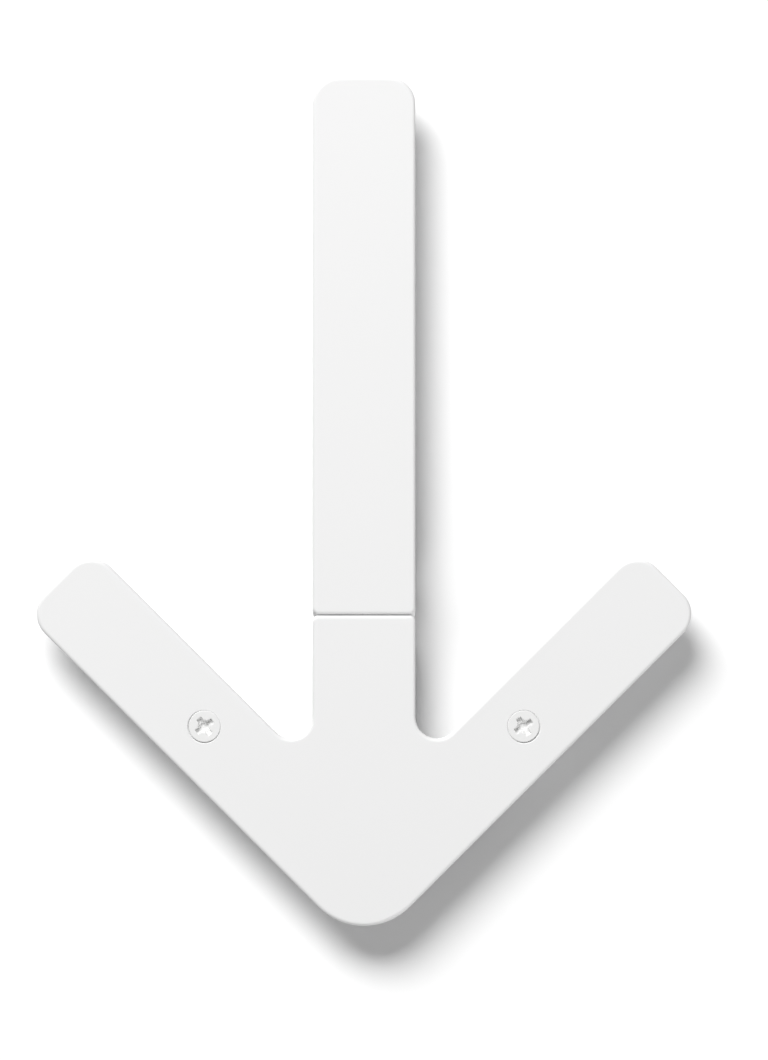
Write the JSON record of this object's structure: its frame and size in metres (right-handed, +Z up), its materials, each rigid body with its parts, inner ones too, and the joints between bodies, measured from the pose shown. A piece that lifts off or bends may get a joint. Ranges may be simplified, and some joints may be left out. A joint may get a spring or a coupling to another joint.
{
  "type": "wall coat rack",
  "caption": "Arrow-shaped wall coat rack in white painted metal: a screwed-on arrowhead whose sprung stem folds forward as a coat hook.",
  "frame": {"origin": "on the wall's surface, midway between the two wall screws", "axes": "+X to the right as one faces the wall, +Y into the wall, +Z up along the arrow's stem"},
  "size_m": [0.19, 0.04, 0.2463],
  "materials": {
    "powder_coat": "satin white powder coat on a casting",
    "screw_paint": "white painted head on a zinc-plated screw",
    "pin_steel": "ground steel",
    "spring_steel": "bright spring wire",
    "washer_plastic": "natural nylon",
    "bumper_rubber": "soft grey rubber"
  },
  "bodies": {
    "arrowhead": {"arrowhead_plate": "powder_coat", "torsion_spring": "spring_steel", "thrust_washer_left": "washer_plastic", "thrust_washer_right": "washer_plastic", "wall_screw_left": "screw_paint", "wall_screw_right": "screw_paint"},
    "hook": {"hook_arm": "powder_coat", "hinge_pin": "pin_steel", "wall_bumper": "bumper_rubber"}
  },
  "joints": [
    {"name": "hook_fold", "type": "hinge", "parent": "arrowhead", "child": "hook", "pos_m": [0, -0.0085, 0.0423], "axis": [1, 0, 0], "range_deg": [0, 45], "stiffness_Nm_per_rad": 0.13, "springref_deg": -22.35, "deforming": ["torsion_spring"]}
  ]
}
